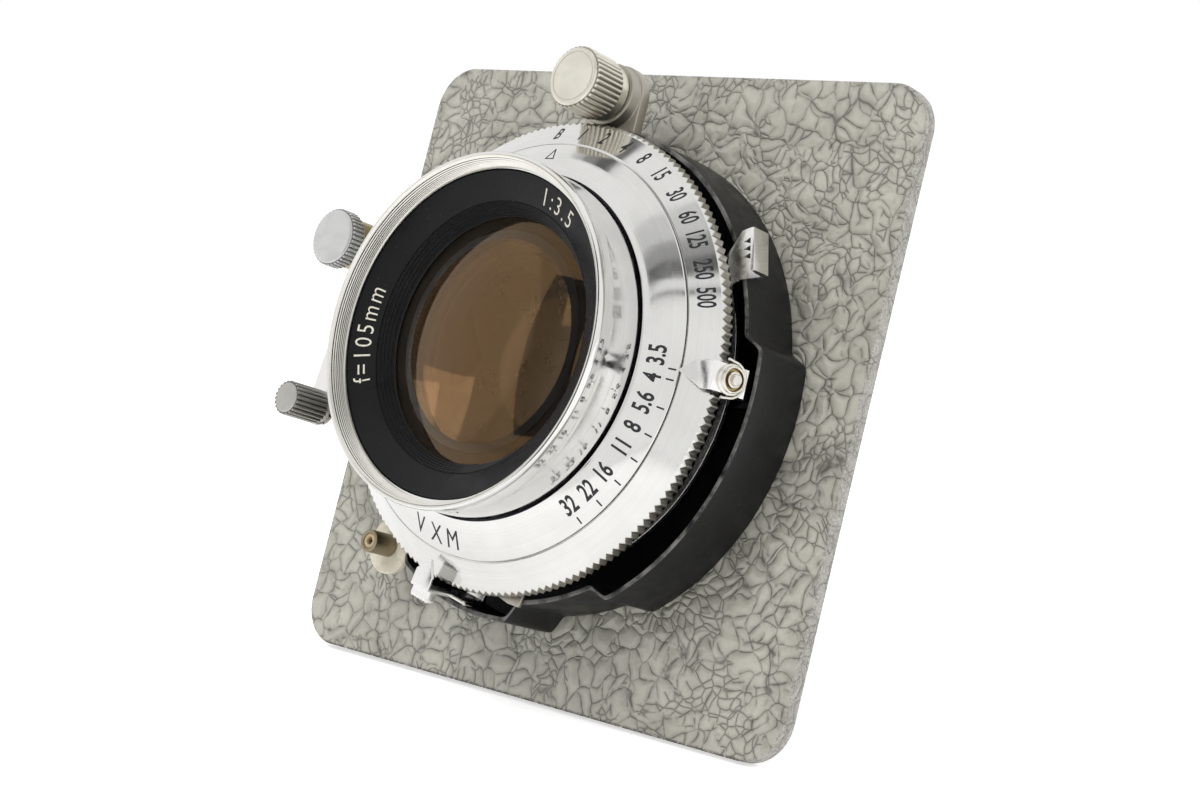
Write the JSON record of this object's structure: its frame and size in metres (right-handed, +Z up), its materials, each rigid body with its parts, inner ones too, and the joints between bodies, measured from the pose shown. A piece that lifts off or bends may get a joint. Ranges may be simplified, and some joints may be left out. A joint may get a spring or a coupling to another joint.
{
  "type": "lens in a leaf shutter on a square lens board",
  "caption": "Camera lens in a leaf shutter with a knurled speed ring, levers and knobs, clamped in a square painted lens board for a view camera's front standard.",
  "frame": {"origin": "on the lens axis, in the plane of the lens board's back face, which seats on the camera", "axes": "the front of the lens faces -Y, +Z is up, +X is to the right seen from the front"},
  "size_m": [0.08, 0.0364, 0.08],
  "materials": {
    "hammered_paint": "grey-green hammered enamel, worn pale at the edges",
    "black_enamel": "satin black enamel, worn to metal on the edges",
    "black_anodised": "satin black anodised",
    "dark_metal": "dark anodised inner metal",
    "satin_silver": "fine satin silver with filled black numbers",
    "polished_chrome": "polished chrome",
    "blade_steel": "thin dark spring steel",
    "coated_glass": "clear optical glass with an amber coating",
    "white_nickel": "matt nickel plated steel",
    "screw_steel": "bright turned steel",
    "aged_nickel": "aged nickel plate",
    "cream_metal": "cream tinted satin metal",
    "grey_metal": "pale grey face with dark ribs",
    "olive_brass": "dull olive brass",
    "ivory_fibre": "ivory insulating fibre",
    "beige_insulator": "beige moulded insulator"
  },
  "bodies": {
    "board_and_case": {"lens_board": "hammered_paint", "jam_nut": "black_anodised", "shutter_case": "black_enamel", "case_screws": "screw_steel", "shutter_core": "dark_metal", "front_hub": "dark_metal", "face_plate": "satin_silver", "front_barrel": "polished_chrome", "name_ring": "black_anodised", "front_retainer": "black_anodised", "front_glass": "coated_glass", "glass_spacer": "black_anodised", "second_glass": "coated_glass", "inner_retainer": "black_anodised", "mid_plate": "dark_metal", "lower_spacer": "dark_metal", "upper_spacer": "dark_metal", "flash_bracket": "aged_nickel", "top_lug": "aged_nickel", "side_lug": "aged_nickel", "side_collar": "olive_brass", "socket_flange": "ivory_fibre", "socket_tube": "olive_brass", "socket_insulator": "beige_insulator", "socket_contact": "olive_brass", "socket_lug": "aged_nickel", "rear_barrel": "black_anodised", "rear_glass": "coated_glass", "rear_retainer": "black_anodised"},
    "speed_dial": {"speed_ring": "satin_silver"},
    "aperture_drive": {"iris_ring": "dark_metal", "aperture_pointer": "white_nickel", "pointer_nut": "screw_steel", "pointer_clip": "screw_steel"},
    "shutter_drive": {"shutter_ring": "dark_metal"},
    "flash_selector": {"flash_lever": "white_nickel", "flash_link": "screw_steel"},
    "cocking_arm": {"cocking_lever": "white_nickel", "cocking_grip": "grey_metal"},
    "release": {"release_lever": "white_nickel"},
    "top_screw": {"top_knob": "cream_metal"},
    "side_screw": {"side_knob": "grey_metal"},
    "iris_leaf_1": {"iris_blade_1": "blade_steel"},
    "shutter_leaf_1": {"shutter_blade_1": "blade_steel"},
    "iris_leaf_2": {"iris_blade_2": "blade_steel"},
    "shutter_leaf_2": {"shutter_blade_2": "blade_steel"},
    "iris_leaf_3": {"iris_blade_3": "blade_steel"},
    "shutter_leaf_3": {"shutter_blade_3": "blade_steel"},
    "iris_leaf_4": {"iris_blade_4": "blade_steel"},
    "shutter_leaf_4": {"shutter_blade_4": "blade_steel"},
    "iris_leaf_5": {"iris_blade_5": "blade_steel"},
    "shutter_leaf_5": {"shutter_blade_5": "blade_steel"}
  },
  "joints": [
    {"name": "speed_ring_turn", "type": "hinge", "parent": "board_and_case", "child": "speed_dial", "pos_m": [0, -0.0145, 0], "axis": [0, 1, 0], "range_deg": [-72.5, 3.5]},
    {"name": "aperture_turn", "type": "hinge", "parent": "board_and_case", "child": "aperture_drive", "pos_m": [0, -0.0053, 0], "axis": [0, 1, 0], "range_deg": [0, 48.3]},
    {"name": "release_turn", "type": "hinge", "parent": "board_and_case", "child": "release", "pos_m": [0, -0.0104, 0], "axis": [0, 1, 0], "range_deg": [0, 8], "stiffness_Nm_per_rad": 0.02, "springref_deg": -5.73},
    {"name": "cocking_turn", "type": "hinge", "parent": "board_and_case", "child": "cocking_arm", "pos_m": [0, -0.0094, 0], "axis": [0, -1, 0], "range_deg": [0, 40]},
    {"name": "flash_turn", "type": "hinge", "parent": "board_and_case", "child": "flash_selector", "pos_m": [0, -0.0068, 0], "axis": [0, -1, 0], "range_deg": [-7.8, 7.8]},
    {"name": "shutter_ring_turn", "type": "hinge", "parent": "board_and_case", "child": "shutter_drive", "pos_m": [0, -0.0084, 0], "axis": [0, 1, 0], "range_deg": [0, 8]},
    {"name": "top_knob_turn", "type": "hinge", "parent": "board_and_case", "child": "top_screw", "pos_m": [0.00018, -0.016, 0.0336], "axis": [0, -1, 0], "continuous": true},
    {"name": "side_knob_turn", "type": "hinge", "parent": "board_and_case", "child": "side_screw", "pos_m": [-0.03374, -0.018, 0.0107], "axis": [0, -1, 0], "continuous": true},
    {"name": "iris_leaf_1_turn", "type": "hinge", "parent": "board_and_case", "child": "iris_leaf_1", "pos_m": [0.0211, -0.0042, 0], "axis": [0, -1, 0], "range_deg": [0, 30]},
    {"name": "iris_leaf_2_turn", "type": "hinge", "parent": "board_and_case", "child": "iris_leaf_2", "pos_m": [0.00652, -0.0042, 0.02007], "axis": [0, -1, 0], "range_deg": [0, 30]},
    {"name": "iris_leaf_3_turn", "type": "hinge", "parent": "board_and_case", "child": "iris_leaf_3", "pos_m": [-0.01707, -0.0042, 0.0124], "axis": [0, -1, 0], "range_deg": [0, 30]},
    {"name": "iris_leaf_4_turn", "type": "hinge", "parent": "board_and_case", "child": "iris_leaf_4", "pos_m": [-0.01707, -0.0042, -0.0124], "axis": [0, -1, 0], "range_deg": [0, 30]},
    {"name": "iris_leaf_5_turn", "type": "hinge", "parent": "board_and_case", "child": "iris_leaf_5", "pos_m": [0.00652, -0.0042, -0.02007], "axis": [0, -1, 0], "range_deg": [0, 30]},
    {"name": "shutter_leaf_1_turn", "type": "hinge", "parent": "board_and_case", "child": "shutter_leaf_1", "pos_m": [0.0211, -0.0073, 0], "axis": [0, 1, 0], "range_deg": [0, 37]},
    {"name": "shutter_leaf_2_turn", "type": "hinge", "parent": "board_and_case", "child": "shutter_leaf_2", "pos_m": [0.00652, -0.0073, 0.02007], "axis": [0, 1, 0], "range_deg": [0, 37]},
    {"name": "shutter_leaf_3_turn", "type": "hinge", "parent": "board_and_case", "child": "shutter_leaf_3", "pos_m": [-0.01707, -0.0073, 0.0124], "axis": [0, 1, 0], "range_deg": [0, 37]},
    {"name": "shutter_leaf_4_turn", "type": "hinge", "parent": "board_and_case", "child": "shutter_leaf_4", "pos_m": [-0.01707, -0.0073, -0.0124], "axis": [0, 1, 0], "range_deg": [0, 37]},
    {"name": "shutter_leaf_5_turn", "type": "hinge", "parent": "board_and_case", "child": "shutter_leaf_5", "pos_m": [0.00652, -0.0073, -0.02007], "axis": [0, 1, 0], "range_deg": [0, 37]}
  ],
  "couplings": [
    {"joint": "shutter_ring_turn", "follows": "release_turn", "ratio": 1},
    {"joint": "iris_leaf_1_turn", "follows": "aperture_turn", "ratio": 0.6087},
    {"joint": "iris_leaf_2_turn", "follows": "aperture_turn", "ratio": 0.6087},
    {"joint": "iris_leaf_3_turn", "follows": "aperture_turn", "ratio": 0.6087},
    {"joint": "iris_leaf_4_turn", "follows": "aperture_turn", "ratio": 0.6087},
    {"joint": "iris_leaf_5_turn", "follows": "aperture_turn", "ratio": 0.6087},
    {"joint": "shutter_leaf_1_turn", "follows": "release_turn", "ratio": 4.61},
    {"joint": "shutter_leaf_2_turn", "follows": "release_turn", "ratio": 4.61},
    {"joint": "shutter_leaf_3_turn", "follows": "release_turn", "ratio": 4.61},
    {"joint": "shutter_leaf_4_turn", "follows": "release_turn", "ratio": 4.61},
    {"joint": "shutter_leaf_5_turn", "follows": "release_turn", "ratio": 4.61}
  ]
}
